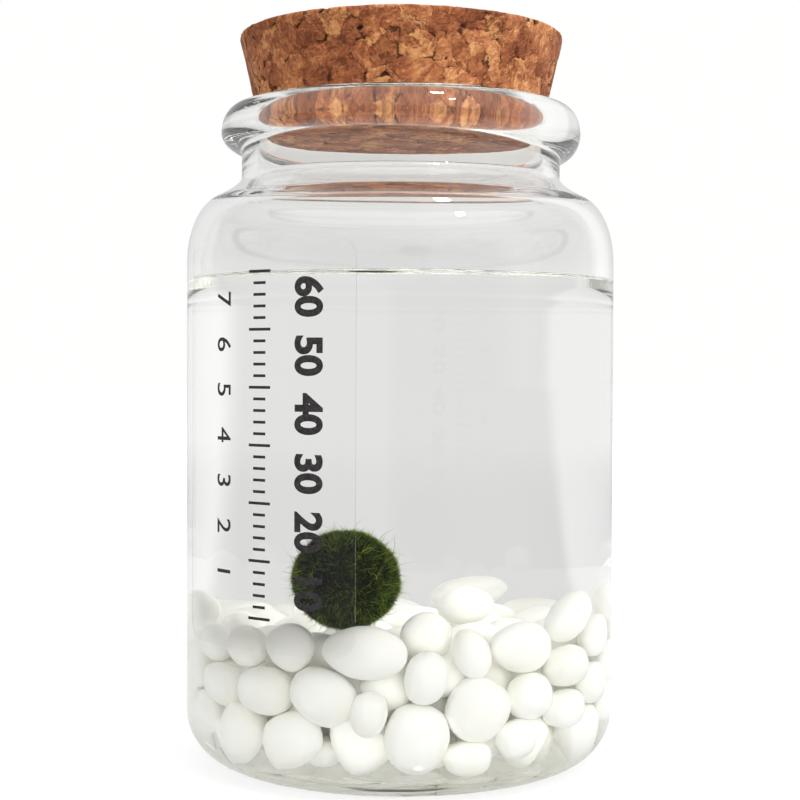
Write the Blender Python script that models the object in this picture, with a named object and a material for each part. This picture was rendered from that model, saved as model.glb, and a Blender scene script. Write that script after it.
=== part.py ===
"""Marimo moss ball in its cork-stoppered glass jar, with water and a bed of white pebbles.

Metres, +Z up. The origin is the middle of the jar's resting plane, and the jar turns about +Z.
The front of the jar, where the moss ball lies against the glass, faces -Y.
"""

import math
from dataclasses import dataclass

import bmesh
import bpy
import numpy as np
from mathutils import Matrix, Vector, noise

MM = 0.001
GAP = 0.3 * MM
TURN_STEPS = 40

# Jar: turned glass with a rounded base, a straight body, a round shoulder and a rolled lip.
BODY_RADIUS = 32.5 * MM
BODY_WALL = 2.3 * MM
BASE_CORNER = 8.0 * MM
FOOT_WIDTH = 3.5 * MM
PUNT_RISE = 0.8 * MM
FLOOR_TOP = 3.4 * MM
SHOULDER_LOW = 75.4 * MM
SHOULDER_HIGH = 85.4 * MM
SHOULDER_TOP_RADIUS = 27.0 * MM
NECK_RADIUS = 24.3 * MM
NECK_LOW = 88.4 * MM
NECK_HIGH = 92.0 * MM
MOUTH_RADIUS = 22.0 * MM
LIP_RADIUS = 27.4 * MM
LIP_MIDDLE = 95.1 * MM
LIP_RISE = 4.0 * MM
LIP_DROP = 3.0 * MM
LIP_END = -70.0
INNER_CORNER_START = -72.0

# The shoulder turns through this angle, then bends into the neck.
SHOULDER_TURN = 62.0
NECK_BEND = 0.45

# Cork: a tapered stopper that hangs in the mouth by its sides.
CORK_TOP = 109.9 * MM
CORK_BOTTOM = 95.4 * MM
CORK_TOP_RADIUS = 24.75 * MM
CORK_BOTTOM_RADIUS = 21.65 * MM
CORK_EDGE = 0.5 * MM

# Water above the pebbles.
WATER_TOP = 72.6 * MM
WATER_BOTTOM = 27.6 * MM

# Moss ball, lying on the pebbles beside the front glass.
BALL_RADIUS = 7.4 * MM
BALL_CENTRE = Vector((-6.7, -19.3, 29.8)) * MM
BALL_UNEVENNESS = 0.25 * MM
BALL_LUMPS = 1.6
BALL_SINK = 0.5
BALL_POCKET = 0.6 * MM

# Clear film stuck on the left of the front.
FILM_FROM = -69.0
FILM_TO = -10.5
FILM_LOW = 20.2 * MM
FILM_HIGH = 77.4 * MM
FILM_CORNER = 3.0 * MM
FILM_THICKNESS = 0.25 * MM
FILM_COLUMNS = 16

# Pebbles: the bed's lower layers as one solid, and the top layer one by one.
BED_TOP = 16.2 * MM
PEBBLE_CEILING = 27.2 * MM
PEBBLE_GAP = 0.35 * MM
PEBBLE_SEED = 11
SETTLE_ROUNDS = 700
SETTLE_PULL = 0.05 * MM
EGG_TAPER = 0.08
EGG_EVEN_PLACE = 0.5

# Rings of the top layer: radius of the ring in mm, and the pebbles in it.
PEBBLE_RINGS = ((26.2, 14), (18.6, 14), (11.0, 9), (3.6, 3))
RING_MIDDLE = 22.0
RING_SHIFT = 0.6
RING_STAGGER = 0.4
RING_MARGIN = 0.25

# Least and most half length, half depth and half height of those pebbles in mm, and the most that
# they turn, tilt and lean, in radians.
LEAST_HALVES = (3.3, 2.9, 2.7)
MOST_HALVES = (4.4, 3.7, 3.3)
MOST_TURNS = (0.6, 0.4, 0.3)

# Pebbles that show through the front: angle from -Y towards +X in degrees, radius and height of the
# middle in mm, then length, height and depth in mm, and the tilt of the length in degrees.
FRONT_PEBBLES = (
    (-67, 26.2, 19.4, 6.8, 5.8, 6.2, 0),
    (-50, 26.2, 19.8, 7.0, 6.4, 6.4, 5),
    (-33, 26.0, 20.5, 7.2, 7.2, 6.6, -8),
    (-12, 26.4, 21.0, 11.6, 7.8, 6.4, -3),
    (8, 23.4, 21.8, 7.0, 7.2, 6.6, 10),
    (22, 26.4, 20.5, 7.6, 5.6, 5.6, -68),
    (38, 25.4, 20.5, 9.6, 7.6, 6.6, -6),
    (57, 25.4, 23.2, 10.0, 6.6, 6.6, 24),
    (77, 26.0, 20.2, 7.8, 6.6, 6.4, 12),
    (68, 8.2, 24.3, 7.8, 5.6, 6.6, 4),
)
FRONT_PEBBLE_LOOSENESS = 0.1


@dataclass
class Pebble:
    """One pebble: its middle, its half lengths, the turn of its axes and how easily it is pushed."""

    centre: np.ndarray
    half: np.ndarray
    axes: np.ndarray
    looseness: float


def clear_scene():
    for old in list(bpy.data.objects):
        bpy.data.objects.remove(old, do_unlink=True)


def make_material(name, colour, roughness, alpha=1.0):
    material = bpy.data.materials.new(name)
    material.use_nodes = True
    shader = material.node_tree.nodes["Principled BSDF"]
    shader.inputs["Base Color"].default_value = (*colour, 1.0)
    shader.inputs["Roughness"].default_value = roughness
    shader.inputs["Metallic"].default_value = 0.0
    shader.inputs["Alpha"].default_value = alpha
    return material


def add_object(name, mesh, material):
    mesh.materials.clear()
    mesh.materials.append(material)
    made = bpy.data.objects.new(name, mesh)
    bpy.context.scene.collection.objects.link(made)
    return made


def mesh_from(name, shape):
    mesh = bpy.data.meshes.new(name)
    shape.to_mesh(mesh)
    shape.free()
    mesh.shade_smooth()
    return mesh


def arc(centre_r, centre_z, half_r, half_z, start, end, steps):
    """Points (r, z) of an elliptical arc, from start to end in degrees, 0 pointing outward."""
    angles = [math.radians(start + (end - start) * i / steps) for i in range(steps + 1)]
    return [(centre_r + half_r * math.cos(a), centre_z + half_z * math.sin(a)) for a in angles]


def blend(start, corner, end, steps):
    """Points of a smooth bend that leaves start towards corner and reaches end from it."""
    points = []
    for i in range(steps + 1):
        t = i / steps
        weights = ((1 - t) ** 2, 2 * t * (1 - t), t**2)
        points.append(tuple(sum(w * p[k] for w, p in zip(weights, (start, corner, end))) for k in (0, 1)))
    return points


def turned(name, profile, material):
    """A solid turned about +Z from an open profile (r, z) that starts and ends on the axis."""
    shape = bmesh.new()
    points = [shape.verts.new((r, 0.0, z)) for r, z in profile]
    for low, high in zip(points, points[1:]):
        shape.edges.new((low, high))
    made = add_object(name, mesh_from(name, shape), material)
    screw = made.modifiers.new("Turn", "SCREW")
    screw.steps = TURN_STEPS
    screw.render_steps = TURN_STEPS
    screw.use_merge_vertices = True
    screw.merge_threshold = 1e-5
    screw.use_smooth_shade = True
    return made


def outer_side():
    """The jar's outer side from the top of the straight body to the neck."""
    reach = BODY_RADIUS - SHOULDER_TOP_RADIUS
    rise = SHOULDER_HIGH - SHOULDER_LOW
    shoulder = arc(SHOULDER_TOP_RADIUS, SHOULDER_LOW, reach, rise, 0, SHOULDER_TURN, 6)
    top_r, top_z = shoulder[-1]
    corner = (NECK_RADIUS, top_z + (top_r - NECK_RADIUS) * NECK_BEND)
    return shoulder[:-1] + blend(shoulder[-1], corner, (NECK_RADIUS, NECK_LOW), 4)


def set_in(profile, depth):
    """An outline that runs upward, moved inward by depth along its normals; its ends are upright."""
    padded = [(profile[0][0], profile[0][1] - MM), *profile, (profile[-1][0], profile[-1][1] + MM)]
    moved = []
    for before, (r, z), after in zip(padded, profile, padded[2:]):
        along_r, along_z = after[0] - before[0], after[1] - before[1]
        length = math.hypot(along_r, along_z)
        moved.append((r - depth * along_z / length, z + depth * along_r / length))
    return moved


def jar_profile():
    """The whole section of the glass, from the inner floor over the lip to the underside."""
    inner_body = BODY_RADIUS - BODY_WALL
    inner_corner = BASE_CORNER - BODY_WALL
    floor = [(0.0, FLOOR_TOP), (inner_body - inner_corner, FLOOR_TOP)]
    corner_z = FLOOR_TOP + inner_corner
    floor += arc(inner_body - inner_corner, corner_z, inner_corner, inner_corner, INNER_CORNER_START, 0, 4)
    inside = set_in(outer_side(), BODY_WALL)
    lip_half = 0.5 * (LIP_RADIUS - MOUTH_RADIUS)
    lip = arc(MOUTH_RADIUS + lip_half, LIP_MIDDLE, lip_half, LIP_RISE, 180, 0, 9)
    lip += arc(MOUTH_RADIUS + lip_half, LIP_MIDDLE, lip_half, LIP_DROP, 0, LIP_END, 4)[1:]
    under_lip = [(NECK_RADIUS, NECK_HIGH)]
    outside = outer_side()[::-1]
    corner_r = BODY_RADIUS - BASE_CORNER
    base = arc(corner_r, BASE_CORNER, BASE_CORNER, BASE_CORNER, 0, -90, 6)
    under = [(corner_r - FOOT_WIDTH, 0.0), (corner_r - 2 * FOOT_WIDTH, PUNT_RISE), (0.0, PUNT_RISE)]
    return floor + inside + lip + under_lip + outside + base + under


def make_jar():
    return turned("jar", jar_profile(), make_material("clear_glass", (0.88, 0.92, 0.9), 0.03, 0.25))


def make_cork():
    profile = [
        (0.0, CORK_TOP),
        (CORK_TOP_RADIUS - CORK_EDGE, CORK_TOP),
        (CORK_TOP_RADIUS, CORK_TOP - CORK_EDGE),
        (CORK_BOTTOM_RADIUS, CORK_BOTTOM + CORK_EDGE),
        (CORK_BOTTOM_RADIUS - CORK_EDGE, CORK_BOTTOM),
        (0.0, CORK_BOTTOM),
    ]
    return turned("cork", profile, make_material("pressed_cork", (0.43, 0.2, 0.1), 0.85))


def make_ball():
    """A slightly uneven ball out to the tips of the dense fuzz."""
    shape = bmesh.new()
    bmesh.ops.create_icosphere(shape, subdivisions=3, radius=BALL_RADIUS)
    for vert in shape.verts:
        swell = noise.noise(vert.co / BALL_RADIUS * BALL_LUMPS)
        vert.co += vert.co.normalized() * (BALL_UNEVENNESS * (swell - BALL_SINK))
    material = make_material("moss", (0.02, 0.045, 0.008), 0.95)
    made = add_object("moss_ball", mesh_from("moss_ball", shape), material)
    made.location = BALL_CENTRE
    return made


def make_ball_pocket():
    """The cutter for the space that the ball takes in the water."""
    shape = bmesh.new()
    bmesh.ops.create_icosphere(shape, subdivisions=3, radius=BALL_RADIUS + BALL_POCKET)
    material = make_material("cutter", (1.0, 0.0, 0.0), 0.5)
    made = add_object("ball_pocket", mesh_from("ball_pocket", shape), material)
    made.location = BALL_CENTRE
    made.hide_render = True
    made.display_type = "WIRE"
    return made


def make_water():
    radius = BODY_RADIUS - BODY_WALL - GAP
    profile = [(0.0, WATER_TOP), (radius, WATER_TOP), (radius, WATER_BOTTOM), (0.0, WATER_BOTTOM)]
    water = turned("water", profile, make_material("water", (0.93, 0.97, 0.95), 0.02, 0.2))
    pocket = water.modifiers.new("Ball pocket", "BOOLEAN")
    pocket.operation = "DIFFERENCE"
    pocket.solver = "EXACT"
    pocket.object = make_ball_pocket()
    return water


def make_film():
    """A thin clear plate bent round the body, with rounded corners."""
    inner = BODY_RADIUS + GAP
    start = math.radians(FILM_FROM)
    width = math.radians(FILM_TO - FILM_FROM) * inner
    quarter = [math.radians(30 * i) for i in range(4)]
    ends = [(FILM_CORNER * (1 - math.cos(a)), FILM_CORNER * (1 - math.sin(a))) for a in quarter]
    middle_width = width - 2 * FILM_CORNER
    middle = [(FILM_CORNER + middle_width * i / FILM_COLUMNS, 0.0) for i in range(1, FILM_COLUMNS)]
    columns = ends + middle + [(width - along, inset) for along, inset in reversed(ends)]
    shape = bmesh.new()
    loops = []
    for along, inset in columns:
        angle = start + along / inner
        out = Vector((math.sin(angle), -math.cos(angle), 0.0))
        low, high = FILM_LOW + inset, FILM_HIGH - inset
        corners = ((inner, low), (inner + FILM_THICKNESS, low), (inner + FILM_THICKNESS, high), (inner, high))
        loops.append([shape.verts.new(out * r + Vector((0.0, 0.0, z))) for r, z in corners])
    for near, far in zip(loops, loops[1:]):
        for k in range(4):
            shape.faces.new((near[k], near[(k + 1) % 4], far[(k + 1) % 4], far[k]))
    shape.faces.new(loops[0])
    shape.faces.new(reversed(loops[-1]))
    bmesh.ops.recalc_face_normals(shape, faces=shape.faces)
    mesh = mesh_from("clear_label", shape)
    mesh.set_sharp_from_angle(angle=math.radians(40))
    return add_object("clear_label", mesh, make_material("clear_film", (0.95, 0.95, 0.95), 0.1, 0.2))


def make_bed():
    """The lower layers of pebbles as one solid that fills the base of the jar."""
    corner = BASE_CORNER - BODY_WALL
    radius = BODY_RADIUS - BODY_WALL - GAP
    low = FLOOR_TOP + GAP
    profile = [(0.0, BED_TOP), (radius, BED_TOP)]
    profile += arc(radius - corner, low + corner, corner, corner, 0, -90, 5)
    profile.append((0.0, low))
    return turned("gravel_bed", profile, make_material("porcelain_bed", (0.8, 0.8, 0.77), 0.3))


def pebble_axes(angle, tilt, lean=0.0):
    """Length along the ring, tilted up to the right by tilt, and leaning inward by lean."""
    turn = Matrix.Rotation(angle, 3, "Z") @ Matrix.Rotation(-tilt, 3, "Y") @ Matrix.Rotation(lean, 3, "X")
    return np.array(turn)


def front_pebbles():
    made = []
    for angle, radius, height, length, tall, deep, tilt in FRONT_PEBBLES:
        turn = math.radians(angle)
        centre = np.array((radius * math.sin(turn), -radius * math.cos(turn), height)) * MM
        half = np.array((length, deep, tall)) * 0.5 * MM
        made.append(Pebble(centre, half, pebble_axes(turn, math.radians(tilt)), FRONT_PEBBLE_LOOSENESS))
    return made


def ring_pebbles(random):
    """The rest of the top layer, in rings, each pebble a little different."""
    made = []
    taken = [math.radians(row[0]) for row in FRONT_PEBBLES if row[1] > PEBBLE_RINGS[1][0]]
    free = math.tau - (max(taken) - min(taken)) - 2 * RING_MARGIN
    for ring, (radius, count) in enumerate(PEBBLE_RINGS):
        first = max(taken) + RING_MARGIN if ring == 0 else RING_STAGGER * ring
        span = free if ring == 0 else math.tau
        steps = count - 1 if ring == 0 else count
        for i in range(count):
            angle = first + span * i / steps
            half = random.uniform(LEAST_HALVES, MOST_HALVES) * MM
            centre = np.array((radius * math.sin(angle), -radius * math.cos(angle), RING_MIDDLE)) * MM
            centre += random.uniform(-RING_SHIFT, RING_SHIFT, 3) * MM
            turn, tilt, lean = random.uniform(-np.array(MOST_TURNS), MOST_TURNS)
            made.append(Pebble(centre, half, pebble_axes(angle + turn, tilt, lean), 1.0))
    return made


def reach(shapes, directions):
    """How far each ellipsoid, given by its shape matrix, reaches along each unit direction."""
    return np.sqrt(np.einsum("...i,...ij,...j->...", directions, shapes, directions))


def push_apart(centres, shapes, looseness):
    """Moves pebbles that are too near each other along the line between their middles."""
    offset = centres[None, :, :] - centres[:, None, :]
    distance = np.linalg.norm(offset, axis=2) + np.eye(len(centres))
    direction = offset / distance[..., None]
    needed = reach(shapes[:, None], direction) + reach(shapes[None, :], direction) + PEBBLE_GAP
    overlap = np.clip(needed - distance, 0.0, None) * (1 - np.eye(len(centres)))
    share = looseness[:, None] / (looseness[:, None] + looseness[None, :])
    centres -= ((overlap * share)[..., None] * direction).sum(axis=1)


def keep_inside(centres, shapes):
    """Keeps pebbles off the glass, above the bed, under the free water and clear of the moss ball."""
    from_ball = centres - np.array(BALL_CENTRE)
    distance = np.linalg.norm(from_ball, axis=1)
    away = from_ball / distance[:, None]
    near = np.clip(BALL_RADIUS + PEBBLE_GAP + reach(shapes, away) - distance, 0.0, None)
    centres += away * near[:, None]
    tall = reach(shapes, np.array((0.0, 0.0, 1.0)))
    centres[:, 2] = np.clip(centres[:, 2], BED_TOP + GAP + tall, PEBBLE_CEILING - tall)
    flat = centres * (1.0, 1.0, 0.0)
    out = np.linalg.norm(flat, axis=1)
    outward = flat / out[:, None]
    over = np.clip(out + reach(shapes, outward) - (BODY_RADIUS - BODY_WALL - 2 * GAP), 0.0, None)
    centres -= outward * over[:, None]


def settle(pebbles):
    """Lets the loose pebbles sink and slide until none touches another."""
    centres = np.array([p.centre for p in pebbles])
    shapes = np.array([p.axes @ np.diag(p.half**2) @ p.axes.T for p in pebbles])
    looseness = np.array([p.looseness for p in pebbles])
    for turn in range(SETTLE_ROUNDS):
        sink = SETTLE_PULL * max(0.0, 1.0 - 1.5 * turn / SETTLE_ROUNDS)
        centres[:, 2] -= sink * (looseness == 1.0)
        push_apart(centres, shapes, looseness)
        keep_inside(centres, shapes)
    for pebble, centre in zip(pebbles, centres):
        pebble.centre = centre


def make_pebble(name, pebble, material):
    """An egg-shaped pebble, a little thicker towards one end of its length."""
    shape = bmesh.new()
    bmesh.ops.create_icosphere(shape, subdivisions=2, radius=1.0)
    turn = Matrix(pebble.axes.tolist())
    half = Vector(pebble.half.tolist())
    for vert in shape.verts:
        taper = 1.0 + EGG_TAPER * (vert.co.x - EGG_EVEN_PLACE)
        point = Vector((vert.co.x, vert.co.y * taper, vert.co.z * taper))
        vert.co = turn @ (point * half)
    made = add_object(name, mesh_from(name, shape), material)
    made.location = pebble.centre.tolist()
    return made


def make_pebbles():
    random = np.random.default_rng(PEBBLE_SEED)
    pebbles = front_pebbles() + ring_pebbles(random)
    settle(pebbles)
    material = make_material("porcelain", (0.85, 0.85, 0.83), 0.15)
    return [make_pebble(f"pebble_{i:02d}", pebble, material) for i, pebble in enumerate(pebbles, 1)]


def main():
    clear_scene()
    make_jar()
    make_cork()
    make_water()
    make_ball()
    make_film()
    make_bed()
    make_pebbles()


if __name__ == "__main__":
    main()
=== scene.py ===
"""Marimo moss ball in its corked jar: the finish of every surface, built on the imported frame.

All sizes are in metres, in the frame's own axes: +Z up the jar, the front of the jar facing -Y.
"""

import logging
import math
from contextlib import contextmanager
from dataclasses import dataclass
from enum import Enum
from typing import Iterator, Optional, Sequence, Union

import bmesh
import bpy
import numpy as np
from mathutils import Matrix, Vector


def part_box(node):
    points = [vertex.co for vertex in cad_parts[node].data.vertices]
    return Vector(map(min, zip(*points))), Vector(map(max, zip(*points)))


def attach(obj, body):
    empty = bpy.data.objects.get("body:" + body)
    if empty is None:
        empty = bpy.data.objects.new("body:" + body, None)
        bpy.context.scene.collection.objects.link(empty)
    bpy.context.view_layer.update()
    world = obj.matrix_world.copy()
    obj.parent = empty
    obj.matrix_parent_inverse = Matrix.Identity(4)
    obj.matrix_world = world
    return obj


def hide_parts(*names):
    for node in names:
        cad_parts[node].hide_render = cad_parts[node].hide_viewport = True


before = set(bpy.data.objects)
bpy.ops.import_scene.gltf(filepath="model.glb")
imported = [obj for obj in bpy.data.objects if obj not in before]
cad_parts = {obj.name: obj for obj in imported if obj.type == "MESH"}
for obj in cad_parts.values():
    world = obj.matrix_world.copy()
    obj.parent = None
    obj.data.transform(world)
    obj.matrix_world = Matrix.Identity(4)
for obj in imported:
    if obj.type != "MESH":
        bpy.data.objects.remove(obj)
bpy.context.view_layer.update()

log = logging.getLogger("jar")

MM = 0.001
HAIRLINE = 1e-7
WELD = 1e-6
BODY = "root"
UP = Vector((0.0, 0.0, 1.0))

Colour = tuple[float, float, float]
Point = tuple[float, float]
Tree = Union[bpy.types.ShaderNodeTree, bpy.types.GeometryNodeTree]

BLACK: Colour = (0.0, 0.0, 0.0)
WHITE: Colour = (1.0, 1.0, 1.0)


# ---------------------------------------------------------------- node arithmetic


class Value:
    """One number of a node tree that takes part in plain arithmetic."""

    def __init__(self, graph: "Graph", socket: bpy.types.NodeSocket) -> None:
        """Keeps the socket and the graph that it belongs to."""
        self.graph = graph
        self.socket = socket

    def _math(self, operation: str, first: "Term", second: "Term") -> "Value":
        """Adds one Math node.

        Args:
            operation: The Math node's operation.
            first: Its first value or link.
            second: Its second value or link.

        Returns:
            The node's result.
        """
        return self.graph.node("ShaderNodeMath", {"operation": operation}, {0: first, 1: second})

    def __add__(self, other: "Term") -> "Value":
        """self + other."""
        return self._math("ADD", self, other)

    def __sub__(self, other: "Term") -> "Value":
        """self - other."""
        return self._math("SUBTRACT", self, other)

    def __rsub__(self, other: "Term") -> "Value":
        """other - self."""
        return self._math("SUBTRACT", other, self)

    def __mul__(self, other: "Term") -> "Value":
        """self * other."""
        return self._math("MULTIPLY", self, other)

    def __truediv__(self, other: "Term") -> "Value":
        """self / other."""
        return self._math("DIVIDE", self, other)

    def __rtruediv__(self, other: "Term") -> "Value":
        """other / self."""
        return self._math("DIVIDE", other, self)

    __radd__ = __add__
    __rmul__ = __mul__

    def between(self, low: float, high: float) -> "Value":
        """A smooth step from 0 at low to 1 at high, or the other way round if low is above high.

        Args:
            low: The value that gives 0.
            high: The value that gives 1.

        Returns:
            The step.
        """
        return self.graph.node(
            "ShaderNodeMapRange",
            {"interpolation_type": "SMOOTHSTEP"},
            {"Value": self, "From Min": low, "From Max": high},
        )


Term = Union[float, Value]
Triple = Union[Sequence, Value]
Setting = Union[str, bool, int, float, Sequence]


class Graph:
    """A node tree under construction, for a material, the world or a shape."""

    def __init__(self, tree: Tree) -> None:
        """Empties the tree and keeps it."""
        self.tree = tree
        self.tree.nodes.clear()

    def add(
        self, kind: str, settings: Optional[dict] = None, inputs: Optional[dict] = None
    ) -> bpy.types.Node:
        """Adds one node of any kind.

        Args:
            kind: The node's type name.
            settings: Its own settings, set first. "stops" holds a ramp's (place, colour) pairs.
            inputs: Values or links of its sockets, by name or number.

        Returns:
            The node.
        """
        made = self.tree.nodes.new(kind)
        for name, setting in (settings or {}).items():
            if name == "stops":
                self._set_stops(made.color_ramp, setting)
            else:
                setattr(made, name, setting)
        for name, given in (inputs or {}).items():
            if isinstance(given, Value):
                self.tree.links.new(given.socket, made.inputs[name])
            else:
                made.inputs[name].default_value = given
        return made

    def node(
        self,
        kind: str,
        settings: Optional[dict] = None,
        inputs: Optional[dict] = None,
        output: Union[int, str] = 0,
    ) -> Value:
        """Adds one node and gives one of its outputs.

        Args:
            kind: The node's type name.
            settings: Its own settings.
            inputs: Values or links of its sockets.
            output: The wanted output, by name or number.

        Returns:
            That output.
        """
        return Value(self, self.add(kind, settings, inputs).outputs[output])

    @staticmethod
    def _set_stops(ramp: bpy.types.ColorRamp, stops: Sequence) -> None:
        """Fills a colour ramp.

        Args:
            ramp: The ramp.
            stops: Its (place, colour) pairs.
        """
        while len(ramp.elements) < len(stops):
            ramp.elements.new(0.5)
        for element, (place, colour) in zip(ramp.elements, stops):
            element.position = place
            element.color = (*colour, 1.0)

    def mix(self, share: Term, first: Union[Colour, Value], second: Union[Colour, Value]) -> Value:
        """Blends two colours.

        Args:
            share: How much of the second colour there is.
            first: The colour at 0.
            second: The colour at 1.

        Returns:
            The blended colour.
        """
        colours = [c if isinstance(c, Value) else (*c, 1.0) for c in (first, second)]
        inputs = {0: share, 6: colours[0], 7: colours[1]}
        return self.node("ShaderNodeMix", {"data_type": "RGBA"}, inputs, output=2)

    def vector(self, operation: str, first: Triple, second: Triple) -> Value:
        """One Vector Math node of two vectors."""
        return self.node("ShaderNodeVectorMath", {"operation": operation}, {0: first, 1: second})

    def scaled(self, first: Value, factor: Term) -> Value:
        """A vector times a number."""
        return self.node("ShaderNodeVectorMath", {"operation": "SCALE"}, {0: first, "Scale": factor})

    def length(self, vector: Value) -> Value:
        """The length of a vector."""
        return self.node("ShaderNodeVectorMath", {"operation": "LENGTH"}, {0: vector}, "Value")

    def part(self, vector: Value, number: int) -> Value:
        """One of a vector's three numbers."""
        return self.node("ShaderNodeSeparateXYZ", None, {0: vector}, number)

    def light_path(self, output: str) -> Value:
        """What the light's path was like before it came here."""
        return self.node("ShaderNodeLightPath", output=output)

    def noise(self, place: Value, size: float, detail: float = 2.0, output: Union[int, str] = 0) -> Value:
        """Cloudy noise.

        Args:
            place: Where it is read.
            size: How large its lumps are, in metres.
            detail: How many finer layers it has.
            output: "Color" for three numbers, or 0 for one.

        Returns:
            The noise, around 0.5.
        """
        inputs = {"Vector": place, "Scale": 1.0 / size, "Detail": detail, "Roughness": 0.55}
        return self.node("ShaderNodeTexNoise", None, inputs, output)

    def cells(self, place: Value, size: float, feature: str = "F1", output: Union[int, str] = 0) -> Value:
        """Cells of a given size.

        Args:
            place: Where they are read.
            size: The size of a cell, in metres.
            feature: The Voronoi node's feature.
            output: The wanted output.

        Returns:
            The distance, or the cell's random colour.
        """
        inputs = {"Vector": place, "Scale": 1.0 / size}
        return self.node("ShaderNodeTexVoronoi", {"feature": feature}, inputs, output)


class Shader(Graph):
    """The node tree of one material."""

    def __init__(self, name: str) -> None:
        """Makes the material and its Object coordinates.

        Args:
            name: The material's name.
        """
        self.material = bpy.data.materials.new(name)
        self.material.use_nodes = True
        super().__init__(self.material.node_tree)
        self.place = self.node("ShaderNodeTexCoord", output="Object")

    def bump(self, height: Term, depth: float, strength: float = 1.0) -> Value:
        """A surface relief.

        Args:
            height: The relief, from 0 to 1.
            depth: How deep 1 is, in metres.
            strength: How much of it shows.

        Returns:
            The bumped normal.
        """
        inputs = {"Height": height, "Distance": depth, "Strength": strength}
        return self.node("ShaderNodeBump", None, inputs)

    def principled(self, **inputs: Union[Term, Colour]) -> Value:
        """Adds a Principled shader.

        Args:
            **inputs: Values or links of its sockets, with underscores for the spaces in their names.

        Returns:
            The shader's result.
        """
        named = {name.replace("_", " "): given for name, given in inputs.items()}
        for name, given in named.items():
            if isinstance(given, tuple) and len(given) == 3:
                named[name] = (*given, 1.0)
        return self.node("ShaderNodeBsdfPrincipled", None, named)

    def done(self, surface: Value) -> bpy.types.Material:
        """Links the surface to the output and gives the material."""
        self.add("ShaderNodeOutputMaterial", None, {"Surface": surface})
        return self.material


# ---------------------------------------------------------------- the bench


def deselect() -> None:
    """Goes to object mode and leaves nothing selected."""
    if bpy.context.mode != "OBJECT":
        bpy.ops.object.mode_set(mode="OBJECT")
    bpy.ops.object.select_all(action="DESELECT")


def pick(*pieces: bpy.types.Object) -> None:
    """Selects only some pieces.

    Args:
        *pieces: The pieces; the first one becomes active.
    """
    deselect()
    for piece in pieces:
        piece.select_set(True)
    bpy.context.view_layer.objects.active = pieces[0]


@contextmanager
def editing(piece: bpy.types.Object, mode: str = "VERT") -> Iterator[None]:
    """Edit mode on one piece with everything in it selected, and object mode again afterwards.

    Args:
        piece: The piece to edit.
        mode: What is selected: VERT, EDGE or FACE.
    """
    pick(piece)
    bpy.ops.object.mode_set(mode="EDIT")
    bpy.ops.mesh.select_mode(type=mode)
    bpy.ops.mesh.select_all(action="SELECT")
    yield
    bpy.ops.object.mode_set(mode="OBJECT")


def fresh(name: str) -> bpy.types.Object:
    """Names the piece that an operator has just added.

    Args:
        name: Its name.

    Returns:
        The piece.
    """
    piece = bpy.context.active_object
    piece.name = name
    piece.data.name = name
    return piece


def place_in_mesh(piece: bpy.types.Object) -> None:
    """Moves a piece's place, turn and scale into its mesh."""
    pick(piece)
    bpy.ops.object.transform_apply(location=True, rotation=True, scale=True)


def work(piece: bpy.types.Object, kind: str, **settings: Setting) -> None:
    """Adds a modifier and applies it.

    Args:
        piece: The piece to work on.
        kind: The modifier's type.
        **settings: The modifier's settings.
    """
    modifier = piece.modifiers.new(kind.title(), kind)
    for name, setting in settings.items():
        setattr(modifier, name, setting)
    pick(piece)
    bpy.ops.object.modifier_apply(modifier=modifier.name)


def roughen(piece: bpy.types.Object, size: float, depth: float) -> None:
    """Pushes a surface in and out by soft lumps.

    Args:
        piece: The piece to work on.
        size: How large the lumps are.
        depth: How far the highest stands above the lowest.
    """
    lumps = bpy.data.textures.new(piece.name + "_lumps", "CLOUDS")
    lumps.noise_scale = size
    lumps.noise_depth = 1
    work(piece, "DISPLACE", texture=lumps, strength=depth, mid_level=0.5, texture_coords="LOCAL")


def dress(piece: bpy.types.Object, material: bpy.types.Material) -> None:
    """Gives a piece one material and smooth shading.

    Args:
        piece: The piece.
        material: Its material.
    """
    piece.data.materials.clear()
    piece.data.materials.append(material)
    piece.data.shade_smooth()


def join(name: str, pieces: Sequence[bpy.types.Object]) -> bpy.types.Object:
    """Joins pieces into one.

    Args:
        name: The joined piece's name.
        pieces: The pieces.

    Returns:
        The joined piece.
    """
    pick(*pieces)
    bpy.ops.object.join()
    return fresh(name)


def fit(piece: bpy.types.Object, slot: str, *nodes: str) -> None:
    """Lets a piece ride on the jar.

    Args:
        piece: The piece.
        slot: Not used.
        *nodes: The CAD nodes that it stands for.
    """
    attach(piece, BODY)
    if nodes:
        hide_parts(*nodes)
    log.info("%s: %d faces", piece.name, len(piece.data.polygons))


def shape_nodes(name: str) -> tuple[Graph, Value]:
    """Starts a node tree that changes a piece's shape.

    Args:
        name: The tree's name.

    Returns:
        The tree, and the shape that comes in.
    """
    tree = bpy.data.node_groups.new(name, "GeometryNodeTree")
    for way in ("INPUT", "OUTPUT"):
        tree.interface.new_socket("Geometry", in_out=way, socket_type="NodeSocketGeometry")
    graph = Graph(tree)
    return graph, graph.node("NodeGroupInput")


def arc(middle: Point, half: Point, start: float, end: float, steps: int) -> list[Point]:
    """Points of an elliptical arc.

    Args:
        middle: The arc's centre, as radius and height.
        half: Its half width and half height.
        start: The first angle in degrees, 0 pointing outward.
        end: The last angle.
        steps: How many stretches it has.

    Returns:
        The points, as radius and height.
    """
    angles = [math.radians(start + (end - start) * i / steps) for i in range(steps + 1)]
    return [(middle[0] + half[0] * math.cos(a), middle[1] + half[1] * math.sin(a)) for a in angles]


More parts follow.
